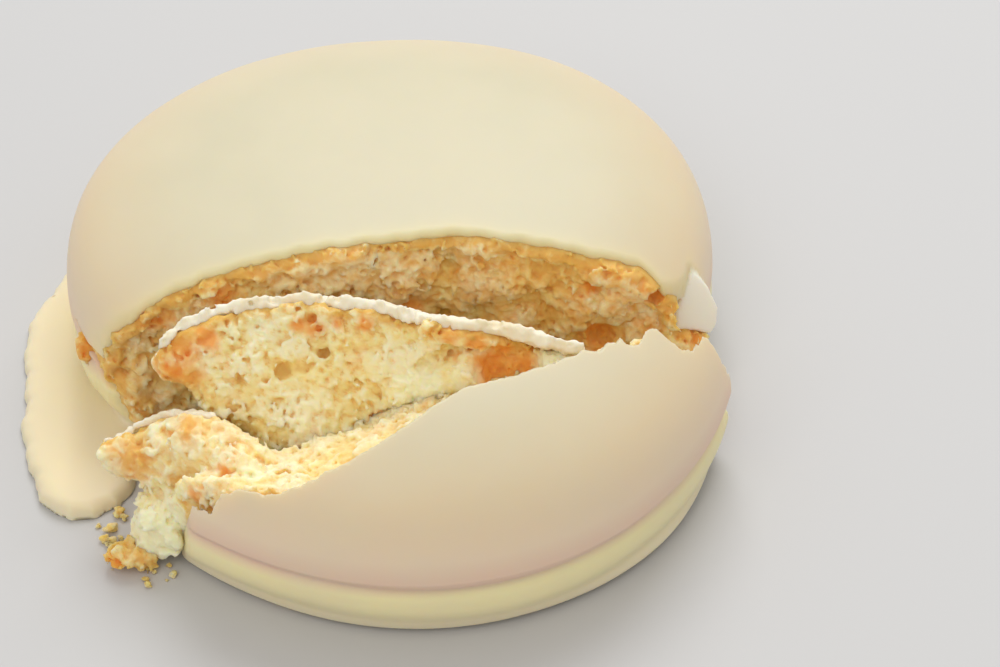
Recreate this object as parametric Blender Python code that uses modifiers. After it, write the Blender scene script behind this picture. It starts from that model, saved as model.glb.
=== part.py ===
"""A small round lemon cake under poured icing, cut across and broken open.

Metres, +Z up. The cake stands on z = 0 with the middle of its whole, uncut disc at the origin.
+Y points to the uncut back, and the open cut faces -Y. The front part has slid forward and turned,
and the strip of top between the cut and a crack has tipped back on its edge.
"""

import math

import bmesh
import bpy
from mathutils import Matrix, Vector, noise

MM = 0.001

# The iced disc
RADIUS = 36.3 * MM  # at the crease, where the dome turns under
HEIGHT = 25.3 * MM
CREASE = 9.6 * MM
BASE_RADIUS = 33.5 * MM
FLATNESS = 2.8  # how flat the top stays before it falls
SHOULDER = 2.6  # how square the shoulder is
SWELL = ((2, 0.016, -0.011), (3, -0.006, 0.020))  # plan waviness: order, cosine, sine
ICING = 1.6 * MM
GAP = 0.3 * MM
LIFT = 0.6 * MM  # the front icing's hem above the surface
AROUND = 72
DOWN = 11

# The cut's edge and the crack in front of it, as seen from above on the icing: x, y
CUT = (
    (-40.0, -12.4), (-33.6, -12.8), (-32.3, -14.4), (-28.4, -15.6), (-20.4, -14.5), (-9.3, -12.9),
    (1.6, -11.9), (8.2, -11.2), (12.5, -12.1), (23.3, -14.0), (29.8, -14.7), (31.2, -14.2),
    (32.4, -12.4), (40.0, -12.4),
)  # fmt: skip
CRACK = (
    (-40.0, -16.8), (-31.0, -17.4), (-28.7, -20.2), (-27.0, -22.9), (-25.2, -23.3),
    (-17.2, -27.0), (-11.7, -26.9), (-6.0, -25.4), (-2.3, -23.4), (2.3, -21.9),
    (7.9, -21.3), (12.5, -19.9), (17.2, -18.7), (19.7, -17.2), (21.6, -17.6), (24.2, -15.9),
    (26.1, -18.4), (27.6, -17.6), (29.5, -15.0), (31.8, -15.8), (33.2, -15.2), (40.0, -14.4),
)  # fmt: skip
FRONT_BACK = -14.1 * MM  # no part of the front reaches further back than this, in its own frame
TORN_ABOVE = 11.6 * MM  # below this the front icing isn't torn, but runs on round the side
TORN_FALL = 11.0 * MM
ICING_END = -28.3 * MM  # the front icing's left end, in its own frame
END_LEAN = 0.10  # how much further left that end runs towards the base
STUB_BACK = -9.4 * MM  # crumb broken off further back, past the icing's left end
STUB_FROM = -24.5 * MM
STUB_TO = -28.0 * MM
STUB_TOP = 9.0 * MM
STUB_SLOPE = 2.0 * MM
CRACK_FLOOR = 14.0 * MM  # the crack's bottom above the base, at the left
CRACK_RISE = -4.0 * MM  # from here to the right its floor climbs
CRACK_END = 19.0 * MM  # how far to the right the crack runs
FLAKE_X = 31.5 * MM
FLAKE_Y = -16.4 * MM
FLAKE_FOOT = 13.6 * MM
FLAKE_TOP = 16.2 * MM
RECESS = 1.0 * MM  # the crumb stands back from the icing's edge
CRAG = 1.1 * MM
CRAG_SIZE = 5.0 * MM

# The front part's move
FRONT_SHIFT = (1.9 * MM, -14.0 * MM)
FRONT_TURN = math.radians(11.5)

# The icing's foot: a flat pool from the back left to the front left
FOOT_HEIGHT = 1.7 * MM
FOOT_FROM = math.radians(157)
FOOT_TO = math.radians(222)
FOOT_REACH = 43.6 * MM
FOOT_TONGUE = 3.0 * MM  # how much wider it is in front of the cut
FOOT_INNER = 32.8 * MM
FOOT_OPEN = 2.0 * MM  # how much further in it reaches where no cake stands behind it

# The tipped strip, seen from its end at stations from left to right, in mm: x, then the (y, z) of
# the icing's crack edge, its bulge and its lower edge, of the foot behind, the foot in front, and
# the crack's bottom
STRIP = (
    (-25.4, (-24.4, 21.5), (-23.7, 20.6), (-23.6, 19.8), (-24.0, 19.2), (-24.8, 19.6), (-25.0, 20.4)),
    (-22.6, (-21.5, 23.2), (-18.8, 20.4), (-18.6, 16.8), (-20.2, 15.2), (-23.6, 15.8), (-24.8, 17.6)),
    (-18.4, (-20.0, 24.0), (-16.4, 18.8), (-17.2, 12.6), (-19.0, 9.4), (-26.2, 10.6), (-27.4, 13.4)),
    (-12.5, (-19.9, 24.7), (-15.4, 18.4), (-16.6, 10.6), (-18.4, 3.4), (-28.0, 3.8), (-29.2, 11.8)),
    (-8.6, (-20.1, 25.0), (-15.0, 18.4), (-16.2, 10.2), (-18.2, 0.0), (-27.4, 0.0), (-28.9, 11.8)),
    (-1.0, (-22.0, 25.0), (-16.2, 19.2), (-16.4, 11.6), (-18.4, 0.0), (-26.3, 0.0), (-27.4, 11.8)),
    (5.0, (-25.0, 24.9), (-21.0, 21.4), (-18.4, 14.8), (-18.0, 0.0), (-23.6, 0.0), (-25.0, 13.8)),
    (12.1, (-26.0, 24.6), (-23.4, 21.9), (-20.6, 17.2), (-17.8, 0.0), (-21.4, 0.0), (-23.2, 15.8)),
    (17.6, (-27.8, 23.9), (-26.2, 21.9), (-23.6, 19.2), (-19.0, 4.6), (-20.9, 4.6), (-22.6, 18.8)),
    (20.8, (-28.2, 22.8), (-27.7, 21.7), (-26.9, 20.8), (-26.1, 19.8), (-26.6, 19.8), (-27.4, 20.6)),
)  # fmt: skip
ROOM = 0.55  # how far torn crumb is cleared from the icing on it, in mm
STRIP_STEP = 1.5 * MM  # about one facet of its crumb
STRIP_CRAG = 0.9 * MM

# The lobe torn from the left end: stations in mm of x, the (y, z) of its middle, half depth, half height
LOBE = (
    (-31.2, (-29.6, 11.4), 0.9, 1.1),
    (-29.6, (-29.2, 10.6), 1.7, 1.9),
    (-26.6, (-29.2, 10.5), 2.8, 3.2),
    (-23.0, (-30.2, 11.1), 3.8, 4.7),
    (-19.0, (-32.2, 11.3), 4.6, 4.8),
    (-14.6, (-34.8, 11.0), 4.4, 4.2),
    (-10.6, (-37.2, 10.2), 3.6, 3.6),
    (-5.0, (-38.4, 8.0), 2.4, 2.4),
)  # fmt: skip
LOBE_SIDES = 14
LOBE_STEP = 1.3 * MM
LOBE_CRAG = 0.8 * MM
LOBE_ICED = 5  # the icing on its back covers this many stations, from the left end
LOBE_SKIN = 0.9  # that icing's thickness in mm
END_LUMP = ((-31.3, -13.6, 4.3), (2.5, 3.1, 3.9))  # crumb that bulges out where the icing has broken off
END_LUMP_TURN = math.radians(23)
FALLEN = ((-30.1, -35.6, 1.6), (2.0, 1.6, 1.4))  # the fallen crumb: its centre and half sizes, in mm


def plain_colour(name, colour, roughness):
    material = bpy.data.materials.new(name)
    material.use_nodes = True
    shader = material.node_tree.nodes["Principled BSDF"]
    shader.inputs["Base Color"].default_value = (*colour, 1.0)
    shader.inputs["Roughness"].default_value = roughness
    shader.inputs["Metallic"].default_value = 0.0
    return material


def add_object(name, mesh, collection, material=None):
    thing = bpy.data.objects.new(name, mesh)
    collection.objects.link(thing)
    if material:
        mesh.materials.append(material)
    return thing


def hide_cutter(thing):
    thing.hide_render = True
    thing.display_type = "WIRE"


def boolean(thing, operation, operand, solver="EXACT"):
    modifier = thing.modifiers.new(f"{operation.lower()} {operand.name}", "BOOLEAN")
    modifier.operation = operation
    modifier.solver = solver
    modifier.object = operand


def swell(angle):
    """How much wider than a circle the cake is in this direction."""
    return 1 + sum(c * math.cos(n * angle) + s * math.sin(n * angle) for n, c, s in SWELL)


def dome_profile(inset, bottom):
    """(radius, height) down the outer side, from the top's middle to the base, inset from the icing's face."""
    radius, height = RADIUS - inset, HEIGHT - inset
    points = []
    for step in range(DOWN + 1):
        turn = math.radians(90) * (1 - step / DOWN)
        across = radius * max(math.cos(turn), 0.0) ** (2 / FLATNESS) if step else 0.0
        points.append((across, CREASE + (height - CREASE) * math.sin(turn) ** (2 / SHOULDER)))
    slope = (RADIUS - BASE_RADIUS) / CREASE
    for share in (0.5, 1.0):
        level = CREASE + (bottom - CREASE) * share
        points.append((radius - slope * (CREASE - level), level))
    points.append((0.0, bottom))
    return points


def dome(name, inset, bottom, collection, material=None):
    """The whole disc as a closed turned solid, swollen in plan."""
    mesh = bpy.data.meshes.new(name)
    profile = dome_profile(inset, bottom)
    edges = [(i, i + 1) for i in range(len(profile) - 1)]
    mesh.from_pydata([(r, 0.0, z) for r, z in profile], edges, [])
    thing = add_object(name, mesh, collection, material)
    screw = thing.modifiers.new("turn", "SCREW")
    screw.steps = screw.render_steps = AROUND
    screw.use_merge_vertices = True
    screw.merge_threshold = 0.00001
    apply_modifiers(thing)
    for vertex in thing.data.vertices:
        grow = swell(math.atan2(vertex.co.y, vertex.co.x))
        vertex.co.x *= grow
        vertex.co.y *= grow
    return thing


def apply_modifiers(thing):
    bpy.context.view_layer.update()
    graph = bpy.context.evaluated_depsgraph_get()
    mesh = bpy.data.meshes.new_from_object(thing.evaluated_get(graph))
    materials = list(thing.data.materials)
    thing.modifiers.clear()
    thing.data = mesh
    if not mesh.materials:
        for material in materials:
            mesh.materials.append(material)


def rough(x, y, z, size, depth):
    """Torn crumb's relief at a point: large crags with smaller ones on them."""
    place = Vector((x, y, z)) / size
    return depth * (noise.noise(place) + 0.5 * noise.noise(place * 2.3))


def along(line, x):
    """The y of a line of (x, y) millimetre points at x."""
    for (x0, y0), (x1, y1) in zip(line, line[1:]):
        if x / MM <= x1:
            break
    share = min(max((x / MM - x0) / (x1 - x0), 0.0), 1.0)
    return (y0 + (y1 - y0) * share) * MM


def rear_icing_face(x, z):
    """The rear icing's edge along the cut, with the bent flake that is left at its right end."""
    in_flake = x > FLAKE_X and z > FLAKE_FOOT - 1.1 * (x - FLAKE_X)
    return FLAKE_Y if in_flake and z < FLAKE_TOP else along(CUT, x)


def front_icing_face(x, z):
    """The front icing's torn edge, which leans back to the cut below the shoulder."""
    edge = min(along(CRACK, x), FRONT_BACK)
    lean = min(max((TORN_ABOVE - z) / TORN_FALL, 0.0), 1.0)
    return edge + (FRONT_BACK - edge) * lean


def crumb_under(x, y):
    """Height of the sponge's own top below the icing at a place."""
    across = min(math.hypot(x, y) / (RADIUS * swell(math.atan2(y, x))), 0.98)
    return CREASE + (HEIGHT - CREASE) * (1 - across**FLATNESS) ** (1 / SHOULDER) - 2.4 * ICING


def rear_sponge_face(x, z):
    return along(CUT, x) + RECESS + rough(x, 0.0, z, CRAG_SIZE, CRAG)


def front_sponge_face(x, z):
    """The front sponge's back: the cut at its foot, then the crack's floor, rising to its torn edge."""
    edge = along(CRACK, x) - RECESS * 0.4
    back = along(CUT, x) - RECESS - GAP
    stub = min(max((STUB_FROM - x) / (STUB_FROM - STUB_TO), 0.0), 1.0)
    back += (STUB_BACK - back) * stub * min(max((STUB_TOP - z) / STUB_SLOPE, 0.0), 1.0)
    top = crumb_under(x, edge)
    floor = CRACK_FLOOR + (top - CRACK_FLOOR) * max(x - CRACK_RISE, 0.0) / (CRACK_END - CRACK_RISE)
    share = min(max((z - floor) / max(top - floor, 2 * MM), 0.0), 1.0)
    return back + (edge - back) * share + rough(x, 9 * MM, z, CRAG_SIZE, CRAG * 0.7)


def wall_block(name, face, columns, rows, collection):
    """A closed block whose near face follows y = face(x, z) and whose far face is flat, beyond the cake."""
    half, low, high, far = 48 * MM, -4 * MM, 34 * MM, 60 * MM
    form = bmesh.new()
    bmesh.ops.create_grid(form, x_segments=columns, y_segments=rows, size=0.5)
    for vertex in form.verts:
        x = vertex.co.x * 2 * half
        z = low + (vertex.co.y + 0.5) * (high - low)
        vertex.co = (x, face(x, z), z)
    moved = bmesh.ops.extrude_face_region(form, geom=form.faces[:])["geom"]
    for vertex in (item for item in moved if isinstance(item, bmesh.types.BMVert)):
        vertex.co.y = far
    bmesh.ops.recalc_face_normals(form, faces=form.faces[:])
    mesh = bpy.data.meshes.new(name)
    form.to_mesh(mesh)
    form.free()
    block = add_object(name, mesh, collection)
    hide_cutter(block)
    return block


def end_block(collection):
    """A block that takes away the front icing past its left end."""
    mesh = bpy.data.meshes.new("icing end")
    form = bmesh.new()
    bmesh.ops.create_cube(form, size=40 * MM)
    for vertex in form.verts:
        vertex.co.x += ICING_END - 20 * MM - END_LEAN * (TORN_ABOVE - vertex.co.z)
    form.to_mesh(mesh)
    form.free()
    block = add_object("icing end", mesh, collection)
    hide_cutter(block)
    return block


def loft(name, rings, collection, material=None):
    """A closed solid through rings of equal length, flat at both ends."""
    form = bmesh.new()
    loops = [[form.verts.new(point) for point in ring] for ring in rings]
    count = len(loops[0])
    for one, two in zip(loops, loops[1:]):
        for i in range(count):
            j = (i + 1) % count
            form.faces.new((one[i], one[j], two[j], two[i]))
    form.faces.new(loops[0])
    form.faces.new(loops[-1])
    bmesh.ops.recalc_face_normals(form, faces=form.faces[:])
    mesh = bpy.data.meshes.new(name)
    form.to_mesh(mesh)
    form.free()
    return add_object(name, mesh, collection, material)


def remesh(thing, voxel):
    modifier = thing.modifiers.new("even skin", "REMESH")
    modifier.mode = "VOXEL"
    modifier.voxel_size = voxel
    apply_modifiers(thing)


def drop_scraps(thing):
    """Keeps only the largest loose piece of a mesh."""
    form = bmesh.new()
    form.from_mesh(thing.data)
    left = set(form.verts)
    pieces = []
    while left:
        piece = set()
        edge = {left.pop()}
        while edge:
            piece |= edge
            edge = {link.other_vert(vertex) for vertex in edge for link in vertex.link_edges} - piece
        left -= piece
        pieces.append(piece)
    pieces.sort(key=len)
    for piece in pieces[:-1]:
        bmesh.ops.delete(form, geom=list(piece), context="VERTS")
    form.to_mesh(thing.data)
    form.free()


def crumble(thing, size, depth, floor=None):
    """Moves the skin in and out as torn crumb, leaving what stands on the surface flat."""
    for vertex in thing.data.vertices:
        if floor is None or vertex.co.z > floor:
            vertex.co += vertex.normal * rough(*vertex.co, size, depth)


def pebble(name, centre, halves, turn, collection):
    """A rough little lump of crumb. Sizes are in mm."""
    form = bmesh.new()
    bmesh.ops.create_icosphere(form, subdivisions=2, radius=1.0)
    for vertex in form.verts:
        grow = 1 + 0.35 * noise.noise(vertex.co * 1.6 + Vector(centre))
        vertex.co = [h * v * grow * MM for h, v in zip(halves, vertex.co)]
    form.transform(Matrix.Translation(Vector(centre) * MM) @ Matrix.Rotation(turn, 4, "Z"))
    mesh = bpy.data.meshes.new(name)
    form.to_mesh(mesh)
    form.free()
    return add_object(name, mesh, collection)


def foot(collection):
    """The flat pool round the left of the base, thin at its two ends."""
    steps = 32
    rings = []
    for step in range(steps + 1):
        share = step / steps
        angle = FOOT_FROM + (FOOT_TO - FOOT_FROM) * share
        ends = min(math.sin(math.pi * share) * 2.4, 1.0) ** 0.5 if 0 < share < 1 else 0.12
        tongue = FOOT_TONGUE * min(max((math.degrees(angle) - 190) / 20, 0.0), 1.0)
        outer = FOOT_INNER + 1.5 * MM + (FOOT_REACH + tongue - FOOT_INNER - 1.5 * MM) * ends
        outer += 0.5 * MM * noise.noise(Vector((7 * share, 0.3, 0.0)))
        open_side = min(max((math.degrees(angle) - 206) / 8, 0.0), 1.0)
        inner = FOOT_INNER * swell(angle) - FOOT_OPEN * open_side
        section = (
            (inner, 0.0), (inner, FOOT_HEIGHT * 0.9), (inner + (outer - inner) * 0.35, FOOT_HEIGHT),
            (outer - 0.9 * MM, FOOT_HEIGHT * 0.86), (outer - 0.2 * MM, FOOT_HEIGHT * 0.5), (outer - 0.3 * MM, 0.0),
        )  # fmt: skip
        rings.append([(r * math.cos(angle), r * math.sin(angle), z) for r, z in section])
    thing = loft("foot", rings, collection)
    hide_cutter(thing)
    return thing


def between(stations):
    """Rows of numbers with two more put in evenly between each pair."""
    rows = []
    for one, two in zip(stations, stations[1:]):
        for share in (0.0, 1 / 3, 2 / 3):
            rows.append([a + (b - a) * share for a, b in zip(one, two)])
    return [*rows, list(stations[-1])]


def strip_rings(kind):
    """Cross-sections of the tipped strip: its crumb, the icing on its back, or the room the icing takes."""
    rings = []
    for x, *flat in between([(x, *sum(points, ())) for x, *points in STRIP]):
        edge, bulge, hem, back, front, root = zip(flat[::2], flat[1::2])
        skin = ICING / MM * min(abs(edge[1] - root[1]) / 4, 1.0)
        face = [Vector(point) for point in (edge, bulge, hem)]
        outward = [Vector((0.55, 0.83)), Vector((0.93, 0.37)), Vector((0.98, -0.2))]
        inner = [p - d * skin for p, d in zip(face, outward)]
        if kind == "icing":
            ring = face + inner[::-1]
        elif kind == "room":
            shelf = [p - d * ROOM for p, d in zip(inner, outward)]
            shelf = [shelf[0] + Vector((-1.8, 2.4)), *shelf, shelf[2] + Vector((0.2, -0.9))]
            ring = shelf + [p + Vector((9.0, -1.0)) for p in reversed(shelf)]
        else:
            ring = [*face, Vector(back), Vector(front), Vector(root)]
        rings.append([(x * MM, y * MM, z * MM) for y, z in ring])
    return rings


def lobe_rings():
    rings = []
    for x, (y, z), deep, tall in LOBE:
        ring = []
        for step in range(LOBE_SIDES):
            turn = math.tau * step / LOBE_SIDES
            ring.append((x * MM, (y + deep * math.cos(turn)) * MM, (z + tall * math.sin(turn)) * MM))
        rings.append(ring)
    return rings


def lobe_skin_rings(inside, outside, spare):
    """The icing on the lobe's back, between two distances in mm from its crumb, with spare room past its ends."""
    rings = []
    for x, y, z, deep, tall in between([(x, *middle, *halves) for x, middle, *halves in LOBE[:LOBE_ICED]]):
        taper = min(deep / 2.0, 1.0)
        x += spare if rings else -spare
        slack = 10 * spare
        arc = [math.radians(a) for a in (-40 - slack, -14, 12, 38, 62 + slack)]
        ring = []
        for extra, turns in ((outside * taper, arc), (inside * taper, arc[::-1])):
            for turn in turns:
                across = (deep + extra) * math.cos(turn)
                rise = (tall + extra) * math.sin(turn)
                ring.append((x * MM, (y + across) * MM, (z + rise) * MM))
        rings.append(ring)
    return rings


def into_front_frame(thing):
    """Takes a mesh that is drawn where it lies now back into the front part's own frame."""
    move = Matrix.Translation((*FRONT_SHIFT, 0.0)) @ Matrix.Rotation(FRONT_TURN, 4, "Z")
    thing.data.transform(move.inverted())


for leftover in list(bpy.data.objects):
    bpy.data.objects.remove(leftover, do_unlink=True)

cake = bpy.data.collections.new("lemon_cake")
cutters = bpy.data.collections.new("cutters")
for group in (cake, cutters):
    bpy.context.scene.collection.children.link(group)

icing_finish = plain_colour("lemon icing", (0.80, 0.73, 0.52), 0.35)
crumb_finish = plain_colour("sponge crumb", (0.78, 0.58, 0.26), 0.85)


def build_rear():
    icing = dome("rear_icing", 0.0, 0.0, cake, icing_finish)
    hollow = dome("rear hollow", ICING, -3 * MM, cutters)
    hide_cutter(hollow)
    boolean(icing, "DIFFERENCE", hollow, "MANIFOLD")
    cut = flipped_block("rear icing cut", rear_icing_face, 80, 20)
    boolean(icing, "DIFFERENCE", cut, "MANIFOLD")
    boolean(icing, "UNION", foot(cutters), "MANIFOLD")
    sponge = dome("rear_sponge", ICING + GAP, 0.0, cake, crumb_finish)
    boolean(sponge, "DIFFERENCE", flipped_block("rear crumb face", rear_sponge_face, 40, 16))


def flipped_block(name, face, columns, rows):
    """A block that takes away all that lies in front of the face."""
    block = wall_block(name, lambda x, z: -face(x, z), columns, rows, cutters)
    block.data.transform(Matrix.Scale(-1, 4, (0, 1, 0)))
    block.data.flip_normals()
    return block


def build_front():
    holder = bpy.data.objects.new("front_part", None)
    holder.location = (*FRONT_SHIFT, 0.0)
    holder.rotation_euler = (0.0, 0.0, FRONT_TURN)
    cake.objects.link(holder)
    icing = dome("front_icing", 0.0, LIFT, cake, icing_finish)
    hollow = dome("front hollow", ICING, -3 * MM, cutters)
    hide_cutter(hollow)
    crack = wall_block("crack in icing", front_icing_face, 90, 14, cutters)
    boolean(icing, "DIFFERENCE", hollow)
    boolean(icing, "DIFFERENCE", crack)
    end = end_block(cutters)
    boolean(icing, "DIFFERENCE", end)
    sponge = dome("front_sponge", ICING + GAP, 0.0, cake, crumb_finish)
    torn = wall_block("crack in crumb", front_sponge_face, 40, 18, cutters)
    boolean(sponge, "DIFFERENCE", torn)
    lobe = loft("lobe", lobe_rings(), cutters)
    remesh(lobe, LOBE_STEP)
    crumble(lobe, 3.6 * MM, LOBE_CRAG)
    room = loft("lobe icing room", lobe_skin_rings(-ROOM, 6.0, 0.8), cutters)
    skin = loft("lobe_icing", lobe_skin_rings(0.0, LOBE_SKIN, 0.0), cake, icing_finish)
    for piece in (lobe, room, skin):
        into_front_frame(piece)
    lump = pebble("end lump", *END_LUMP, END_LUMP_TURN, cutters)
    for piece in (lobe, room, lump):
        hide_cutter(piece)
    for piece in (icing, hollow, crack, end, sponge, torn, lobe, room, skin, lump):
        piece.parent = holder
    boolean(lobe, "DIFFERENCE", room)
    boolean(sponge, "UNION", lobe)
    boolean(sponge, "UNION", lump)


def build_strip():
    crumb = loft("tipped_strip", strip_rings("crumb"), cake, crumb_finish)
    remesh(crumb, STRIP_STEP)
    crumble(crumb, CRAG_SIZE, STRIP_CRAG, floor=0.6 * MM)
    room = loft("strip icing room", strip_rings("room"), cutters)
    hide_cutter(room)
    boolean(crumb, "DIFFERENCE", room, "MANIFOLD")
    apply_modifiers(crumb)
    drop_scraps(crumb)
    loft("tipped_strip_icing", strip_rings("icing"), cake, icing_finish)


def build_crumb():
    fallen = pebble("fallen_crumb", *FALLEN, 0.0, cake)
    fallen.data.materials.append(crumb_finish)


build_rear()
build_front()
build_strip()
build_crumb()
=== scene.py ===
"""The looks of the lemon cake: smooth poured icing, torn porous crumb, and crumbs that lie round it.

Fields and sizes are in millimetres, in the row frame, and become metres when a mesh is made.
"""

import math

import bmesh
import bpy
import numpy as np
import openvdb
from mathutils import Matrix, Vector


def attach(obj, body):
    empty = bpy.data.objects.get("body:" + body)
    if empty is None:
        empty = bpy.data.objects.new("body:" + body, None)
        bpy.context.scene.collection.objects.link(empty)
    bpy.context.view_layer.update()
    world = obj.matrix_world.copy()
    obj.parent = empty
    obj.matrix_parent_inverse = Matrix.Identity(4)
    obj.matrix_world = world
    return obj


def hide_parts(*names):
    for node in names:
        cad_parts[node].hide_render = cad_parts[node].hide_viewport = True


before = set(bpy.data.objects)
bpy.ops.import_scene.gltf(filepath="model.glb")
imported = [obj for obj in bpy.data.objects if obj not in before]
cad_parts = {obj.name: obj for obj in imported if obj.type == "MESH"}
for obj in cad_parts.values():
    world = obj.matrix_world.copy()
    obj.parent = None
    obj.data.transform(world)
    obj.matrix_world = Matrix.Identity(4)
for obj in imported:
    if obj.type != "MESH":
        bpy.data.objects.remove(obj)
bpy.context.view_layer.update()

MM = 0.001


def row(first, last, count, radius):
    """Places spaced evenly from one to another, each with a radius."""
    return tuple((*place, radius) for place in np.linspace(first, last, count))


# The iced disc, as its solids have it
RADIUS = 36.3
HEIGHT = 25.3
CREASE = 9.6  # height at which its dome begins
BASE_RADIUS = 33.5
FLATNESS = 2.8  # powers of the dome's profile
SHOULDER = 2.6
SWELL = ((2, 0.016, -0.011), (3, -0.006, 0.020))  # waves round its outline: number, cosine and sine shares
ICING = 1.6  # thickness
LIFT = 0.6  # height of the front icing's hem

# The rear icing's cut edge and the front icing's torn edge, each as x and y before the front moved
CUT = (
    (-40.0, -12.4), (-33.6, -12.8), (-32.3, -14.4), (-28.4, -15.6), (-20.4, -14.5), (-9.3, -12.9),
    (1.6, -11.9), (8.2, -11.2), (12.5, -12.1), (23.3, -13.4), (27.6, -13.1), (28.6, -13.6),
    (30.2, -14.4), (31.3, -14.1), (32.0, -13.2), (32.5, -12.2), (40.0, -12.2),
)  # fmt: skip
CRACK = (
    (-40.0, -16.8), (-31.0, -17.4), (-28.3, -20.0), (-27.3, -21.3), (-26.2, -22.6), (-25.4, -22.9),
    (-24.4, -23.2), (-23.2, -23.7), (-21.1, -25.3), (-19.2, -26.2), (-17.2, -26.7), (-11.7, -26.7),
    (-6.0, -25.2), (-2.3, -23.3), (2.3, -21.8), (7.9, -21.3), (12.5, -19.9), (17.2, -18.7),
    (19.7, -17.2), (21.6, -17.6), (24.2, -15.9), (26.1, -18.4), (27.6, -17.6), (29.5, -15.0),
    (31.8, -15.8), (33.2, -15.2), (40.0, -14.4),
)  # fmt: skip
FRONT_BACK = -14.1  # the torn edge goes no further back than this y
TORN_ABOVE = 11.6  # height under which that edge leans back
TORN_FALL = 11.0  # and how far below it has leaned back all the way
ICING_END = -28.3  # x of the front icing's left end
END_LEAN = 0.10
FRONT_SHIFT = (1.9, -14.0)
FRONT_TURN = math.radians(11.5)

# The flat pool of icing at the left of the base: its height and outline
FOOT_HEIGHT = 1.8
FOOT = (
    (-38.4, 15.2), (-39.6, 11.4), (-40.4, 9.0), (-42.0, 7.2), (-42.9, 3.6), (-43.3, 0.1),
    (-42.9, -5.1), (-42.5, -9.3), (-42.8, -13.4), (-42.3, -16.4), (-41.2, -20.9), (-39.9, -25.0),
    (-38.4, -27.2), (-36.4, -28.4), (-33.8, -28.2), (-31.2, -26.6), (-29.4, -23.4), (-28.8, -16.0),
    (-31.6, -6.0), (-33.6, 6.0), (-34.0, 14.0),
)  # fmt: skip

# Finer forms that the solids leave out
TUCK = 8.0  # height of the crease that the dome tucks in to
GROOVE = 0.55  # its depth
GROOVE_WIDTH = 0.9
BAND_BULGE = 0.75  # how far the band under the crease swells out
BAND_MIDDLE = 4.6
BAND_WIDTH = 2.2
RIGHT_BULGE = 0.5  # and how much further at the right
RIGHT_MIDDLE = 4.5
RIGHT_WIDTH = 3.5
LIP = 1.0  # rounding of the icing's cut edge
UNDERCUT = 0.25  # how far that edge leans in under itself
TORN_LIP = 0.28  # rounding of the broken edge
ROUGH_FROM = 15.0  # x from which the broken edge is more jagged, in the front part's own frame
HEM_FLARE = 0.3  # how far the hem spreads
RIM_FLARE = 0.9  # and how much further at the front right
RIM_SIDE, RIM_SPREAD = -52.0, 20.0  # degrees
HEM_MIDDLE, HEM_WIDTH = 1.2, 1.1
NOTCH = 2.9  # how far the cut edge is set back where the flake has broken from it
NOTCH_X = 33.0  # which is right of this
NOTCH_FOOT = 8.0  # and above this
SPLIT_FROM, SPLIT_TO = 191.5, 204.0  # degrees round the left side where the crease has come open
SPLIT_HEIGHT = 11.4  # height at which it begins
SPLIT_FALL = 0.19  # and how far it falls for each degree
SPLIT_OPEN = 2.2  # half its height at its open end
SPLIT_BAND = 0.8  # how far the band below it stands out
SPLIT_BAND_SIDE = math.radians(198.0)
SPLIT_BAND_MIDDLE = 6.0
SPLIT_BAND_WIDTH = 2.6
BOTTOM = 0.02  # how far the rear icing and its pool stay above z = 0
FOOT_ROUND = 1.9  # rounding of the pool's rim
FOOT_BLEND = 0.9  # how softly the pool runs into the icing above it
MOUND = 0.45  # how much higher the pool is along its middle
MOUND_X, MOUND_WIDTH = -38.0, 3.0

# The flake of icing that is bent inwards: a point on it, the way it faces, and its outline on that face
FLAKE_AT = (33.9, -9.7, 15.4)
FLAKE_FACING = (0.556, -0.784, 0.278)
FLAKE_THICKNESS = 1.3
FLAKE_CURL = (0.03, 0.02)  # how strongly it curves across and along itself
FLAKE_CURL_FROM = -4.0
FLAKE = (
    (0.1, 0.5), (0.9, -0.8), (1.6, -2.2), (2.4, -5.4), (1.9, -7.4), (0.7, -8.2), (-1.1, -6.8), (-2.2, -6.2),
    (-3.6, -5.4), (-3.3, -3.3), (-2.2, -1.6), (-1.0, -0.6),
)  # fmt: skip

# Places in the crumb: x, y, z and a radius
REAR_BAKED = (
    (-18.5, -13.4, 19.4, 2.0), (22.2, -13.1, 17.4, 1.3), (29.3, -13.4, 16.5, 1.5), (23.2, -12.7, 9.8, 2.4),
    (33.0, -12.4, 8.1, 2.0), (-34.4, -9.8, 9.2, 2.4), (-27.0, -13.4, 17.4, 2.2), (2.0, -10.3, 13.4, 2.0),
)  # fmt: skip
REAR_PALE = ((27.6, -13.6, 17.6, 1.2), (22.6, -13.0, 15.6, 0.9))
REAR_PITS = (
    (32.0, -13.4, 12.3, 1.7), (32.4, -13.6, 10.9, 1.6), (33.6, -12.8, 11.0, 1.5), (33.2, -12.2, 13.8, 1.9),
    (33.8, -12.2, 12.4, 1.6), (36.6, -11.2, 6.4, 1.6), (22.2, -13.7, 17.4, 1.3), (29.3, -14.2, 16.5, 1.2),
    (23.2, -13.4, 9.8, 1.9), (20.4, -13.2, 9.2, 1.2), (6.8, -11.2, 18.6, 1.2),
)  # fmt: skip
REAR_HEAPS = (
    (32.6, -12.6, 7.4, 1.5), (34.2, -11.9, 7.2, 1.3), (27.4, -13.2, 17.6, 1.1), (24.6, -13.2, 15.4, 1.0),
    (22.8, -13.2, 20.4, 0.9), (25.2, -13.2, 19.5, 1.0), (27.4, -13.0, 18.9, 1.0), (29.0, -13.6, 18.0, 0.8),
    (-34.7, -9.7, 10.6, 0.6), (-34.5, -9.5, 9.6, 0.8), (-34.2, -9.3, 8.7, 0.9), (-34.0, -9.2, 7.8, 1.0),
)  # fmt: skip
FRONT_BAKED = (
    (-28.4, -31.2, 9.6, 1.2), (-23.7, -30.3, 14.8, 0.6), (-20.6, -38.3, 13.0, 1.5),
    (-17.9, -36.1, 14.4, 0.8), (-4.6, -31.0, 17.5, 1.6),
)  # fmt: skip
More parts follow.
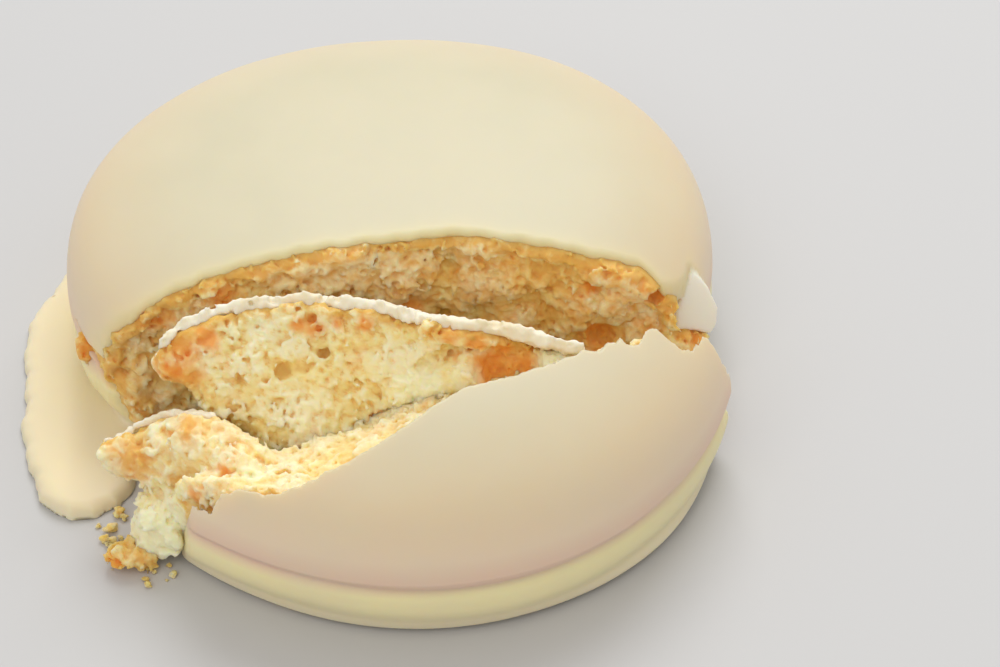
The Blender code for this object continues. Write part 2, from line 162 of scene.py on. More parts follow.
FRONT_PALE = (
    (-25.4, -36.2, 4.6, 5.6), (-14.5, -37.2, 14.6, 2.0), (-8.0, -36.0, 17.5, 1.6), (21.5, -28.6, 22.4, 2.5),
    (25.0, -27.4, 21.8, 2.2),
)  # fmt: skip
FRONT_GOLDEN = ((-28.0, -30.6, 11.6, 3.6), (-21.5, -31.0, 15.5, 2.6), (-23.0, -34.4, 11.0, 2.2))
FRONT_HEAPS = (
    (-26.8, -34.9, 6.2, 1.3), (-8.5, -29.4, 10.4, 1.3), (-5.9, -28.9, 10.6, 1.3), (-3.1, -28.4, 10.9, 1.3),
    (-0.5, -27.6, 11.7, 1.4), (1.9, -27.0, 13.0, 1.8), (4.4, -26.9, 14.0, 1.9), (7.0, -27.0, 15.0, 2.0),
)  # fmt: skip
STRIP_HEAPS = (
    (1.0, -26.0, 15.2, 2.0), (3.6, -25.9, 15.8, 2.2), (6.4, -25.6, 16.4, 2.4), (8.6, -25.4, 17.6, 2.2),
    (10.4, -25.4, 16.4, 2.3), (12.6, -25.6, 16.6, 2.4), (14.8, -26.0, 17.0, 2.3), (16.8, -27.0, 18.4, 2.1),
    (18.8, -27.8, 19.4, 1.8), (12.0, -24.6, 19.2, 1.6), (14.4, -24.8, 18.8, 1.5),
    *row((4.4, -25.2, 23.4), (9.9, -26.0, 22.2), 10, 0.7),
    *row((9.9, -26.0, 22.2), (14.6, -25.4, 19.7), 9, 0.7),
)  # fmt: skip
# Whiter crumb; the spot at the right also lightens crumb that lies in shade under the strip's icing, a
# painted light.
STRIP_PALE = ((3.0, -27.4, 16.5, 3.4), (8.0, -27.4, 18.0, 2.0), (17.2, -28.8, 19.8, 2.9))
STRIP_GOLDEN = ((-22.4, -24.4, 17.0, 3.0), (-18.0, -25.0, 13.6, 2.0), (4.0, -27.0, 15.0, 1.4))
STRIP_PITS = (
    (-11.6, -25.3, 18.3, 1.1), (-4.8, -24.8, 20.2, 0.8), (-16.3, -25.4, 17.1, 0.8),
    (11.4, -28.3, 19.4, 2.8), (13.6, -28.5, 20.0, 2.8),
)  # fmt: skip
STRIP_BAKED = (
    (-23.6, -24.0, 18.6, 2.2), (-22.0, -23.4, 20.2, 2.0), (-19.6, -22.8, 21.4, 1.4),
    (-9.6, -22.2, 22.4, 1.1), (-7.6, -22.4, 22.0, 1.3), (-5.4, -23.0, 22.8, 0.9), (-2.4, -23.4, 22.8, 1.0),
    (11.2, -26.7, 17.4, 3.0), (13.6, -26.7, 17.8, 2.9), (-2.0, -28.0, 12.0, 1.5), (6.7, -26.2, 22.8, 1.1),
    (9.4, -26.8, 22.2, 1.3), (12.4, -26.4, 20.6, 1.6),
)  # fmt: skip
LOOSE_HEAPS = ((-28.3, -35.4, 1.3, 1.4), (-27.0, -36.0, 0.9, 0.9))
LOOSE_BAKED = ((-31.0, -36.5, 1.5, 1.4),)

# Where small crumbs lie: x, y, how far they spread, how many, and the largest one's radius
CRUMB_DRIFTS = ((-31.6, -30.2, 1.2, 9, 0.7), (-26.6, -37.2, 1.1, 7, 0.5))

# The view of the photo, which is 1000 x 667
ELEVATION = math.radians(42.0)
ROLL = math.radians(-2.88)
DISTANCE = 420.0
LENS = 130.03
SENSOR = 36.0
PICTURE = (1000, 667)
ORIGIN_PIXEL = (396.82, 334.53)  # where the row frame's origin shows


# ---------------------------------------------------------------- fields


class Grid:
    """Evenly spaced points in a box."""

    def __init__(self, low, high, step):
        self.low = np.array(low, float)
        self.step = step
        self.shape = tuple(int(n) for n in np.ceil((np.array(high) - self.low) / step) + 1)
        axes = [self.low[i] + step * np.arange(self.shape[i]) for i in range(3)]
        self.x = axes[0][:, None, None]
        self.y = axes[1][None, :, None]
        self.z = axes[2][None, None, :]

    def read(self, field, points):
        """The field's values at points, from the nearest grid point."""
        spot = np.rint((points - self.low) / self.step).astype(int)
        spot = np.clip(spot, 0, np.array(self.shape) - 1)
        return field[spot[:, 0], spot[:, 1], spot[:, 2]]


def smooth_max(a, b, width):
    """The greater of two values, rounded over this width where they are close."""
    share = np.clip(0.5 + 0.5 * (a - b) / width, 0.0, 1.0)
    return b + (a - b) * share + width * share * (1 - share)


def smooth_min(a, b, width):
    """The lesser of two values, rounded in the same way."""
    return -smooth_max(-a, -b, width)


def spline_weights(places, count):
    """Rows of cubic B-spline weights that blend lattice values at these places."""
    base = np.floor(places).astype(int)
    t = places - base
    rows = np.zeros((len(places), count))
    parts = ((1 - t) ** 3, 3 * t**3 - 6 * t**2 + 4, -3 * t**3 + 3 * t**2 + 3 * t + 1, t**3)
    for offset, part in enumerate(parts):
        rows[np.arange(len(places)), base + offset] = part / 6
    return rows


def grid_noise(grid, size, rng):
    """Smooth random values over a grid, with unit spread and features of this size in mm."""
    mats = []
    for axis in (grid.x, grid.y, grid.z):
        places = (axis.ravel() - axis.min()) / size
        mats.append(spline_weights(places, int(places.max()) + 5))
    values = rng.standard_normal([m.shape[1] for m in mats])
    for axis, mat in enumerate(mats):
        values = np.moveaxis(np.tensordot(mat, values, (1, axis)), 0, axis)
    return (values / values.std()).astype(np.float32)


def solid_field(node, grid, reach):
    """Signed distance in mm to a CAD node's solid, held at reach away from it."""
    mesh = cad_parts[node].data
    points = np.zeros(len(mesh.vertices) * 3, np.float32)
    mesh.vertices.foreach_get("co", points)
    points = points.reshape(-1, 3) / MM
    mesh.calc_loop_triangles()
    faces = np.zeros(len(mesh.loop_triangles) * 3, np.int32)
    mesh.loop_triangles.foreach_get("vertices", faces)
    points, merged = np.unique(np.round(points, 4), axis=0, return_inverse=True)
    faces = merged.reshape(-1)[faces].reshape(-1, 3)
    made = openvdb.FloatGrid.createLevelSetFromPolygons(
        ((points - grid.low) / grid.step).astype(np.float32),
        triangles=faces.astype(np.uint32),
        transform=openvdb.createLinearTransform(voxelSize=1.0),
        halfWidth=reach / grid.step,
    )
    field = np.empty(grid.shape, np.float32)
    made.copyToArray(field, ijk=(0, 0, 0))
    return field * grid.step


def soften(field, passes):
    """Evens a field out between neighbours."""
    for _ in range(passes):
        for axis in range(3):
            ahead = np.roll(field, -1, axis)
            behind = np.roll(field, 1, axis)
            field = 0.5 * field + 0.25 * (ahead + behind)
    return field


def stamp_balls(grid, field, centres, radii, add, blend=0.12):
    """Adds balls to a form, or takes them away."""
    margin = 0.4
    for centre, radius in zip(centres, radii):
        low = np.floor((centre - radius - margin - grid.low) / grid.step).astype(int)
        high = np.ceil((centre + radius + margin - grid.low) / grid.step).astype(int) + 1
        low = np.clip(low, 0, grid.shape)
        high = np.clip(high, 0, grid.shape)
        if (high <= low).any():
            continue
        x, y, z = (slice(a, b) for a, b in zip(low, high))
        offsets = (grid.x[x] - centre[0], grid.y[:, y] - centre[1], grid.z[:, :, z] - centre[2])
        ball = np.sqrt(sum(part**2 for part in offsets)) - radius
        part = field[x, y, z]
        field[x, y, z] = smooth_min(part, ball, blend) if add else smooth_max(part, -ball, blend)


# ---------------------------------------------------------------- meshes


def new_piece(name, points, faces, material, node=None, normals=None, values=None):
    """A mesh object from millimetre points, none below z = 0, that rides on the cake.

    It may stand for a CAD node. Values are numbers at its points that a material reads by name.
    """
    points = np.maximum(points, (-np.inf, -np.inf, 0.0))
    mesh = bpy.data.meshes.new(name)
    mesh.vertices.add(len(points))
    mesh.vertices.foreach_set("co", np.asarray(points * MM, np.float32).ravel())
    sides = faces.shape[1]
    mesh.loops.add(len(faces) * sides)
    mesh.loops.foreach_set("vertex_index", faces.astype(np.int32).ravel())
    mesh.polygons.add(len(faces))
    mesh.polygons.foreach_set("loop_start", np.arange(0, len(faces) * sides, sides, dtype=np.int32))
    mesh.update(calc_edges=True)
    mesh.polygons.foreach_set("use_smooth", np.ones(len(faces), bool))
    for key, value in (values or {}).items():
        layer = mesh.attributes.new(key, "FLOAT", "POINT")
        layer.data.foreach_set("value", np.asarray(value, np.float32))
    if normals is not None:
        mesh.normals_split_custom_set_from_vertices(normals.tolist())
    mesh.materials.append(material)
    piece = bpy.data.objects.new(name, mesh)
    bpy.context.scene.collection.objects.link(piece)
    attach(piece, "root")
    if node:
        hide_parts(node)
    return piece


def skin_of(grid, field, adaptivity=0.0, every=1):
    """(points, faces) where the field is zero, closed at the grid's sides.

    Faces are quads, or triangles if adapted. With every=3 only each third grid point counts.
    """
    step = grid.step * every
    closed = field[::every, ::every, ::every].astype(np.float32, order="C")
    for axis in range(3):
        side = [slice(None)] * 3
        for end in (0, -1):
            side[axis] = end
            closed[tuple(side)] = np.maximum(closed[tuple(side)], step)
    made = openvdb.FloatGrid(float(step))
    made.copyFromArray(closed)
    points, triangles, quads = made.convertToPolygons(isovalue=0.0, adaptivity=adaptivity)
    points = points * step + grid.low
    if adaptivity:
        return points, np.concatenate([triangles, quads[:, [0, 1, 2]], quads[:, [0, 2, 3]]])
    return points, quads


def settle(form, points):
    """Moves points onto the surface where form(x, y, z) is zero. Returns them with the normals there."""
    nudge = 0.02
    farthest = 0.3
    for _ in range(3):
        value = form(*points.T)
        slope = np.empty_like(points)
        for axis in range(3):
            ahead = points.copy()
            ahead[:, axis] += nudge
            slope[:, axis] = (form(*ahead.T) - value) / nudge
        size = np.maximum((slope**2).sum(1), 0.05)
        step = slope * (value / size)[:, None]
        points = points - np.clip(step, -farthest, farthest)
    return points, slope / np.sqrt((slope**2).sum(1))[:, None]


def icing_piece(name, form, low, high, step, material, node, marks=None):
    """A smooth piece from a form that is known at every point. Marks are named values at its points."""
    grid = Grid(low, high, step)
    points, quads = skin_of(grid, form(grid.x, grid.y, grid.z))
    points, normals = settle(form, points)
    values = {key: mark(*points.T) for key, mark in (marks or {}).items()}
    return new_piece(name, points, quads, material, node, normals, values)


# ---------------------------------------------------------------- the disc's form


def swell(angle):
    """How much wider than a circle the disc is, at an angle."""
    return 1 + sum(c * np.cos(n * angle) + s * np.sin(n * angle) for n, c, s in SWELL)


def dome_distance(x, y, z, inset=0.0):
    """About how far a point is outside the disc, or outside what is left of it inside an inset."""
    angle = np.arctan2(y, x)
    across = np.hypot(x, y) / swell(angle)
    radius, top = RADIUS - inset, HEIGHT - inset
    rise = np.clip((z - CREASE) / (top - CREASE), 0.0, None)
    share = across / radius
    level = share**FLATNESS + rise**SHOULDER - 1
    slope_out = FLATNESS / radius * share ** (FLATNESS - 1)
    slope_up = SHOULDER / (top - CREASE) * rise ** (SHOULDER - 1)
    upper = level / np.maximum(np.hypot(slope_out, slope_up), 0.03)
    lean = (RADIUS - BASE_RADIUS) / CREASE
    lower = across - (radius - lean * np.clip(CREASE - z, 0.0, CREASE))
    return np.where(z > CREASE, upper, lower)


def hump(value, middle, width):
    """A smooth bump, one high at its middle."""
    return np.exp(-(((value - middle) / width) ** 2))


def towards(angle, way, focus):
    """One on the side that faces this way, and nought away from it. A higher focus is narrower."""
    return np.clip(np.cos(angle - way), 0.0, 1.0) ** focus


def side_relief(z, angle):
    """How far the side stands out at a height: in at the crease under the dome, out at the band below."""
    wander = 0.35 * np.sin(2 * angle + 1.0) + 0.2 * np.sin(5 * angle)
    crease = GROOVE * hump(z, TUCK + wander, GROOVE_WIDTH)
    band = BAND_BULGE * hump(z, BAND_MIDDLE + wander, BAND_WIDTH)
    right = RIGHT_BULGE * hump(z, RIGHT_MIDDLE, RIGHT_WIDTH) * towards(angle, 0.0, 6)
    left = SPLIT_BAND * hump(z, SPLIT_BAND_MIDDLE, SPLIT_BAND_WIDTH) * towards(angle, SPLIT_BAND_SIDE, 30)
    return band + right + left - crease


def ripple(x, y, z, size, depth):
    """A little unevenness from a few crossed waves."""
    a = np.sin((x + 0.6 * y) / size + 1.3) * np.sin((y - 0.4 * z) / size * 1.27 + 0.4)
    b = np.sin((x - 1.1 * z) / size * 2.1 + 2.2) * np.sin((y + 0.8 * x) / size * 1.83)
    return depth * (a + 0.5 * b)


def ragged(x, spacing, depth, seed):
    """A broken edge along x: straight runs between corners that are this far apart on average."""
    rng = np.random.default_rng(seed)
    corners = np.cumsum(spacing * (0.4 + 1.2 * rng.random(int(90 / spacing)))) - 45
    return np.interp(x, corners, depth * rng.standard_normal(len(corners)))


def uneven(x, spacing, depth, seed):
    """A smooth wander along x."""
    rng = np.random.default_rng(seed)
    phases = rng.random(6) * math.tau
    rates = (0.5 + rng.random(6)) * math.tau / spacing
    return depth * sum(np.sin(x * rate + phase) for rate, phase in zip(rates, phases)) / 2.5


def along(line, x):
    """The y of a line of (x, y) points at each x."""
    return np.interp(x, [p[0] for p in line], [p[1] for p in line])


def step_up(value, width):
    """Nought below nought, one above it, with a soft change between them."""
    return 0.5 + 0.5 * np.tanh(value / width)


def outline_distance(x, y, corners):
    """Distance to a closed outline, below nought inside it."""
    nearest, inside = np.inf, False
    for (ax, ay), (bx, by) in zip(corners, corners[1:] + corners[:1]):
        run, rise = bx - ax, by - ay
        share = np.clip(((x - ax) * run + (y - ay) * rise) / (run**2 + rise**2), 0.0, 1.0)
        nearest = np.minimum(nearest, np.hypot(x - ax - share * run, y - ay - share * rise))
        if rise:
            inside = inside ^ (((ay > y) != (by > y)) & (x < ax + (y - ay) * run / rise))
    return np.where(inside, -nearest, nearest)


def skin_distance(x, y, z):
    """The icing's shell, with no edges yet."""
    angle = np.arctan2(y, x)
    outside = dome_distance(x, y, z) - side_relief(z, angle) + ripple(x, y, z, 7.0, 0.05)
    return smooth_max(outside, -dome_distance(x, y, z, ICING), 0.2)


def foot_distance(x, y, z):
    """The flat pool of icing round the left of the base."""
    sides = outline_distance(x, y, FOOT) + 0.14 * np.sin(y * 1.1 + 0.5) + 0.08 * np.sin(y * 2.7 + x)
    mound = MOUND * hump(x, MOUND_X, MOUND_WIDTH) + 0.1 * np.sin(y * 0.5)
    return smooth_max(smooth_max(sides, z - FOOT_HEIGHT - mound, FOOT_ROUND), BOTTOM - z, 0.1)


def flake_distance(x, y, z):
    """The flake bent in from the right end of the rear icing."""
    facing = np.array(FLAKE_FACING) / np.linalg.norm(FLAKE_FACING)
    side = np.cross((0.0, 0.0, 1.0), facing)
    side /= np.linalg.norm(side)
    rise = np.cross(facing, side)
    offsets = (x - FLAKE_AT[0], y - FLAKE_AT[1], z - FLAKE_AT[2])
    ways = (facing, side, rise)
    out, across, up = (sum(part * offset for part, offset in zip(way, offsets)) for way in ways)
    curl = FLAKE_CURL[0] * across**2 + FLAKE_CURL[1] * (up - FLAKE_CURL_FROM) ** 2
    surface = out + curl - 0.2
    slab = np.maximum(surface, -FLAKE_THICKNESS - surface)
    return smooth_max(slab, outline_distance(across, up, FLAKE), 0.5)


def rear_cut(x, z):
    """The y of the rear icing's edge."""
    edge = along(CUT, x) + uneven(x, 4.0, 0.10, 21) + ragged(x, 2.4, 0.05, 22)
    return edge + NOTCH * step_up(x - NOTCH_X, 0.35) * step_up(z - NOTCH_FOOT, 0.3)


def split_distance(x, y, z):
    """The slot where the crease has come open at the left."""
    turn = np.mod(np.degrees(np.arctan2(y, x)), 360.0)
    share = np.clip((turn - SPLIT_FROM) / (SPLIT_TO - SPLIT_FROM), 0.0, 1.0)
    middle = SPLIT_HEIGHT - SPLIT_FALL * (turn - SPLIT_FROM)
    shut = 2.0 * (share <= 0.0)
    return np.abs(z - middle) - SPLIT_OPEN * share + shut


def rear_form(x, y, z):
    """The rear icing with its cut edge, its split, its flake and its foot."""
    skin = skin_distance(x, y, z)
    lean = UNDERCUT * np.clip(-dome_distance(x, y, z), 0.0, 2.0)
    body = smooth_max(skin, rear_cut(x, z) + lean - y, LIP)
    body = smooth_max(body, -split_distance(x, y, z), 0.5)
    body = smooth_min(body, flake_distance(x, y, z), 0.15)
    body = smooth_max(body, BOTTOM - z, 0.2)
    return smooth_min(body, foot_distance(x, y, z), FOOT_BLEND)


def flake_light_mark(x, y, z):
    """Where painted light goes: one on the flake, and nought a quarter of a millimetre off it."""
    return np.clip(1.0 - flake_distance(x, y, z) / 0.25, 0.0, 1.0)


def lip_glow_mark(x, y, z):
    """Where a painted yellow glow goes: one at the rear icing's cut edge, and nought a little way behind
    it.
    """
    return np.exp(-np.clip(y - rear_cut(x, z), 0.0, None) / 0.9) * np.clip((z - 6.0) / 3.0, 0.0, 1.0)


def into_front(x, y):
    """Row-frame coordinates in the front part's own frame."""
    along_x, along_y = x - FRONT_SHIFT[0], y - FRONT_SHIFT[1]
    c, s = math.cos(FRONT_TURN), math.sin(FRONT_TURN)
    return c * along_x + s * along_y, c * along_y - s * along_x


def hem_flare(z, angle):
    """The hem's small outward spread, more of it at the front right."""
    spread = HEM_FLARE + RIM_FLARE * hump(np.degrees(angle), RIM_SIDE, RIM_SPREAD)
    return spread * hump(z, HEM_MIDDLE, HEM_WIDTH)


def front_form(x, y, z):
    """The front icing with its torn edge, its broken left end and its hem."""
    u, v = into_front(x, y)
    edge = np.minimum(along(CRACK, u), FRONT_BACK)
    lean = np.clip((TORN_ABOVE - z) / TORN_FALL, 0.0, 1.0)
    jags = ragged(u + 0.25 * z, 1.5, 0.16, 31) + ragged(u - 0.2 * z, 0.6, 0.10, 32)
    jags = jags * (0.8 + 2.0 * step_up(u - ROUGH_FROM, 2.0))
    torn = edge + (FRONT_BACK - edge) * lean + jags * np.clip(z / 8 - 0.4, 0.2, 1.0)
    end = ICING_END - END_LEAN * (TORN_ABOVE - z) - u
    skin = skin_distance(u, v, z) - hem_flare(z, np.arctan2(v, u))
    body = smooth_max(skin, v - torn, TORN_LIP)
    body = smooth_max(body, end, 0.5)
    hem = 0.35 * np.sin(u * 0.21 + 0.4) + 0.2 * np.sin(u * 0.47)
    return smooth_max(body, LIFT + 0.15 * hem - z, 0.45)


# ---------------------------------------------------------------- torn crumb

REACH = 4.0  # how far from a solid its distance is worked out
LAYER = 0.22  # depth of the torn layers
LAYER_SIZE = 1.15
LAYER_EDGE = 2.4  # how abruptly they end
SWAY = 0.15  # depth of the broad hollows under them
SWAY_SIZE = 3.2
GRAIN = 0.11  # depth of the grains on them
COARSE_GRAIN, FINE_GRAIN = 0.34, 0.2  # their sizes
WAVER, WAVER_SIZE = 0.7, 1.5  # how unevenly crumb swells near its icing
SWELL_OUT, SWELL_FADE = 1.4, 1.2  # how near that icing it does so
PORE_ROOM = 26.0  # cubic mm near the surface for each pore
PORE_LEAST = 0.2  # the smallest pore's radius
PORE_MORE, PORE_MOST = 0.2, 0.8  # how much larger pores are on average, and at most
SHOWN_Y = -8.0  # rear crumb that is further back than this is hidden
LOBE_X = -24.0  # left of this, in the front part's own frame, is the lobe, which shows all round
OPEN_BELOW = 13.0  # height under which the rear crumb may come out through the icing
HIDDEN_EVERY = 3  # how many times coarser hidden crumb is
FINE_FROM, COARSE_TO = 0.3, 0.6  # share shown where the fine part begins, and where the coarse one ends
SEAM = 1.5  # how steeply both are cut off there
CRUMB_ADAPT = 0.2  # how much its flatter faces are merged
CRUMB_BOTTOM = 0.05  # how far it stays above z = 0


def near_spots(points, spots):
    """How near each point is to any of the (x, y, z, radius) spots, one at a spot's middle."""
    share = np.zeros(len(points))
    for *place, radius in spots:
        away = ((points - np.array(place)) ** 2).sum(1) / radius**2
        share = np.maximum(share, np.exp(-away))
    return share


def unbounded(grid):
    """Lets crumb go anywhere."""
    return -REACH


def under_rear_icing(grid):
    """Keeps crumb from coming out through the rear icing, except at the open crease and below it."""
    free = 3.0 * np.clip((OPEN_BELOW - grid.z) / 1.5, 0.0, 1.0)
    return dome_distance(grid.x, grid.y, grid.z, 0.4) - free


def filled_form(grid, rng, node, skins, fill, heaps):
    """(form, covered): a sponge node's form, and how far away its skins, the icing nodes on it, are.

    The form is swollen unevenly near that icing, and has heaps added.
    """
    form = soften(solid_field(node, grid, REACH), 2)
    covered = np.full(grid.shape, REACH, np.float32)
    for skin in skins:
        covered = np.minimum(covered, solid_field(skin, grid, REACH))
    uneven_cover = covered + WAVER * grid_noise(grid, WAVER_SIZE, rng)
    form -= fill * np.clip(SWELL_OUT - uneven_cover / SWELL_FADE, 0.0, 1.0)
    for *place, radius in heaps:
        stamp_balls(grid, form, [np.array(place)], [radius], add=True, blend=0.8)
    return form, covered


def torn_form(grid, rng, form, covered, share, proud, torn, pits):
    """That form torn: ragged thin layers and grains, which fade as share does, with pores and pits."""
    coarse = grid_noise(grid, COARSE_GRAIN, rng)
    layers = np.tanh(LAYER_EDGE * (grid_noise(grid, LAYER_SIZE, rng) + 0.4 * coarse))
    calm = np.clip(0.7 + covered / 2.0, 0.0, 1.0) * share
    sway = grid_noise(grid, SWAY_SIZE, rng)
    field = form + calm * (torn * LAYER * layers + torn * SWAY * sway - proud)
    bare = np.argwhere((np.abs(field) < 0.3) & (covered > 1.0) & (calm > 0.5))
    count = int(len(bare) * grid.step**3 / PORE_ROOM)
    pores = bare[rng.integers(0, len(bare), count)] * grid.step + grid.low
    radii = PORE_LEAST + np.minimum(rng.exponential(PORE_MORE, count), PORE_MOST)
    stamp_balls(grid, field, pores, radii, add=False, blend=0.25)
    for *place, radius in pits:
        stamp_balls(grid, field, [np.array(place)], [radius], add=False, blend=0.3)
    return field + calm * GRAIN * (coarse + 0.6 * grid_noise(grid, FINE_GRAIN, rng))


def crumb_mesh(grid, field, share):
    """(points, faces): fine where the crumb is shown, coarse where it is hidden, with some overlap."""
    points, faces = skin_of(grid, np.maximum(field, SEAM * (FINE_FROM - share)), CRUMB_ADAPT)
    if np.min(share) < COARSE_TO:
        hidden = np.maximum(field, SEAM * (share - COARSE_TO))
        more, coarse = skin_of(grid, hidden, CRUMB_ADAPT, HIDDEN_EVERY)
        faces = np.concatenate([faces, coarse + len(points)])
        points = np.concatenate([points, more])
    return points, faces


def crumb_piece(
    name, node, low, high, step, seed, shown, skins=(), fill=0.5, proud=0.28, torn=1.0,
    pits=(), heaps=(), baked=(), pale=(), golden=(), gold_and_shade=0.0, bounds=unbounded,
):
    """A sponge node's torn crumb, which fills up to its skins, the icing nodes on it.

    It stands proud of its solid, and torn scales how rough it is. Shown and bounds are functions of the
    grid. Baked places are browner, pale ones whiter, golden ones yellower; a tone for all of it is partly
    painted shade.
    """
    grid = Grid(low, high, step)
    rng = np.random.default_rng(seed)
    share = shown(grid)
    form, covered = filled_form(grid, rng, node, skins, fill, heaps)
    field = torn_form(grid, rng, form, covered, share, proud, torn, pits)
    field = np.maximum(np.maximum(field, CRUMB_BOTTOM - grid.z), bounds(grid))
    points, faces = crumb_mesh(grid, field, share)
    # How shut in and how low-lying each point is, for the painted shade that the material puts in hollows
    # and recesses.
    hollow = soften(np.clip(0.5 - field / step, 0.0, 1.0), 6)
    near = np.exp(-np.clip(grid.read(covered, points) - 0.3, 0.0, None))
    values = {
        "raised": np.clip(0.5 + grid.read(form, points) / 1.3, 0.0, 1.0),
        "hollow": grid.read(hollow, points),
        "golden": np.maximum(np.maximum(near, gold_and_shade), near_spots(points, golden)),
        "baked": near_spots(points, baked),
        "pale": near_spots(points, pale),
    }
    return new_piece(name, points, faces, crumb, node, values=values)


def rear_shown(grid):
    """One on the rear crumb's cut face, and nought well behind it."""
    return np.clip((SHOWN_Y - grid.y) / 2.0, 0.0, 1.0)


def front_shown(grid):
    """One at the torn edge and on the lobe, and nought well under the front icing."""
    u, v = into_front(grid.x, grid.y)
    past_edge = np.clip((v - along(CRACK, u) + 3.0) / 1.5, 0.0, 1.0)
    return np.maximum(past_edge, np.clip((LOBE_X - u) / 1.5, 0.0, 1.0))


def all_shown(grid):
    return 1.0


# ---------------------------------------------------------------- materials


def start_material(name):
    """(material, node tree, main shader)"""
    material = bpy.data.materials.new(name)
    material.use_nodes = True
    tree = material.node_tree
    return material, tree, tree.nodes["Principled BSDF"]


def add_node(tree, kind, **settings):
    """A shader node with settings for its inputs or its own properties."""
    node = tree.nodes.new(kind)
    for key, value in settings.items():
        if key in node.inputs:
            node.inputs[key].default_value = value
        else:
            setattr(node, key, value)
    return node


def ramp(tree, source, stops):
    """A colour for each value of the source, blended between (value, colour) stops."""
    node = tree.nodes.new("ShaderNodeValToRGB")
    band = node.color_ramp
    while len(band.elements) < len(stops):
        band.elements.new(0.5)
    for element, (place, colour) in zip(band.elements, stops):
        element.position = place
        element.color = (*colour, 1.0)
    tree.links.new(source, node.inputs["Fac"])
    return node.outputs["Color"]


def mix(tree, factor, tint, colour):
    """A tint that turns to another colour as the factor goes from nought to one."""
    node = add_node(tree, "ShaderNodeMix", data_type="RGBA")
    tree.links.new(factor, node.inputs[0])
    tree.links.new(tint, node.inputs[6])
    node.inputs[7].default_value = (*colour, 1.0)
    return node.outputs[2]


def linear(*colour):
    """A colour's 0 to 255 screen values as the shader's linear ones."""
    return tuple(c / 255 / 12.92 if c < 11 else ((c / 255 + 0.055) / 1.055) ** 2.4 for c in colour)


def attribute(tree, name):
    """The values that a mesh keeps under this name."""
    return add_node(tree, "ShaderNodeAttribute", attribute_name=name).outputs["Fac"]


def blend_values(tree, operation, *values):
    """Joins two or three values, each a socket or a number."""
    node = add_node(tree, "ShaderNodeMath", operation=operation)
    for key, value in enumerate(values):
        if isinstance(value, bpy.types.NodeSocket):
            tree.links.new(value, node.inputs[key])
        else:
            node.inputs[key].default_value = value
    return node.outputs[0]


def object_places(tree):
    return add_node(tree, "ShaderNodeTexCoord").outputs["Object"]


def noise(tree, place, scale, detail, distortion=0.0):
    node = add_node(tree, "ShaderNodeTexNoise", Scale=scale, Detail=detail, Distortion=distortion)
    tree.links.new(place, node.inputs["Vector"])
    return node.outputs[0]


def grey_ramp(tree, source, *stops):
    return ramp(tree, source, [(place, (value,) * 3) for place, value in stops])


def map_range(tree, source, **limits):
    """The source's range stretched to another, with limits such as to_min."""
    node = add_node(tree, "ShaderNodeMapRange")
    for key, value in limits.items():
        node.inputs[key.replace("_", " ").title()].default_value = value
    tree.links.new(source, node.inputs["Value"])
    return node.outputs[0]


def add_bumps(tree, shader, height, strength, distance):
    bump = add_node(tree, "ShaderNodeBump", Strength=strength, Distance=distance)
    tree.links.new(height, bump.inputs["Height"])
    tree.links.new(bump.outputs[0], shader.inputs["Normal"])


def let_light_in(shader, weight, radius, scale, specular):
    """How much light goes in, how far its red, green and blue spread there, and how much shines off."""
    shader.inputs["Subsurface Weight"].default_value = weight
    shader.inputs["Subsurface Radius"].default_value = radius
    shader.inputs["Subsurface Scale"].default_value = scale
    shader.inputs["Specular IOR Level"].default_value = specular


def icing_material():
    """Smooth icing with faint clouds and specks. Painted shade makes it pink under the shoulder and darker
    on top where most light falls; painted light gives its cut edge a yellow glow and its flake a paler
    face.
    """
    material, tree, shader = start_material("lemon icing")
    place = object_places(tree)
    height = add_node(tree, "ShaderNodeSeparateXYZ")
    tree.links.new(place, height.inputs[0])
    level = map_range(tree, height.outputs["Z"], from_max=HEIGHT * MM)
    # Colour by height: the pink stop at 0.33 is painted shade under the shoulder, and the upper stops are
    # painted darker where the most light falls.
    tint = ramp(tree, level, (
        (0.0, linear(244, 230, 196)),
        (0.07, linear(238, 223, 188)),
        (0.14, linear(243, 230, 182)),
        (0.27, linear(243, 230, 178)),
        (0.33, linear(231, 194, 174)),
        (0.50, linear(236, 213, 185)),
        (0.72, linear(225, 205, 170)),
        (0.95, linear(208, 201, 173)),
    ))  # fmt: skip
    clouds = noise(tree, place, 90.0, 3.0)
    tint = mix(tree, grey_ramp(tree, clouds, (0.35, 0.0), (0.75, 0.30)), tint, linear(222, 212, 184))
    # A painted yellow glow along the cut edge, standing in for light through the thin icing and covering
    # its shade.
    lip_glow = blend_values(tree, "MULTIPLY", attribute(tree, "lip_glow"), 0.6)
    tint = mix(tree, lip_glow, tint, linear(246, 230, 164))
    # Painted light: the flake is painted paler, as if lit from above and the left, over the pink painted
    # shade at its height.
    tint = mix(tree, attribute(tree, "flake"), tint, linear(255, 244, 226))
    cells = add_node(tree, "ShaderNodeTexVoronoi", Scale=95.0)
    tree.links.new(place, cells.inputs["Vector"])
    specks = grey_ramp(tree, cells.outputs["Distance"], (0.018, 0.55), (0.036, 0.0))
    tree.links.new(mix(tree, specks, tint, linear(196, 160, 116)), shader.inputs["Base Color"])
    tree.links.new(map_range(tree, clouds, to_min=0.38, to_max=0.52), shader.inputs["Roughness"])
    add_bumps(tree, shader, noise(tree, place, 900.0, 4.0), 0.10, 0.0001)
    let_light_in(shader, 0.4, (1.0, 0.7, 0.35), 0.0022, 0.35)
    return material


